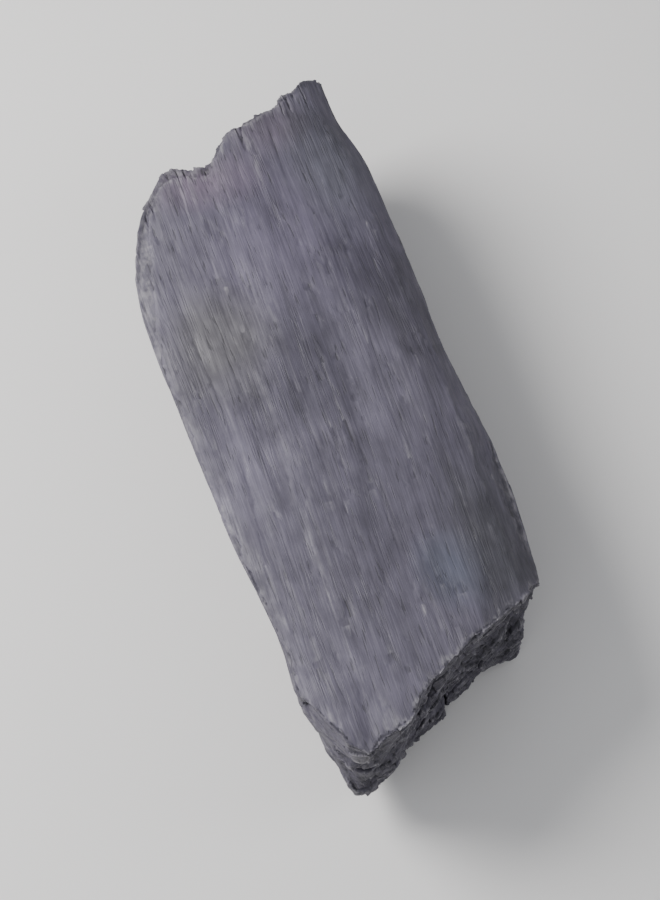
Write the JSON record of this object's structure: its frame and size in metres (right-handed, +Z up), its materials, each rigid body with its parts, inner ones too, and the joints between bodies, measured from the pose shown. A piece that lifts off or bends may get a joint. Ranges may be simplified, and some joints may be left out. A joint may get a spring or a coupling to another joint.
{
  "type": "lump charcoal",
  "caption": "Long split slab of hardwood lump charcoal with straight grain, a clean upper split face, snapped ends and shrinkage cracks, lying on a flat face.",
  "frame": {"origin": "on the ground, under the middle of the lump's bounding box", "axes": "+X to the right across the grain, +Y along the grain from the pointed end to the straight end, +Z up"},
  "size_m": [0.0598, 0.1522, 0.0401],
  "materials": {
    "charcoal": "dry grey-black charcoal, slightly silvery along the grain"
  },
  "bodies": {
    "root": {"charcoal_lump": "charcoal"}
  },
  "joints": []
}
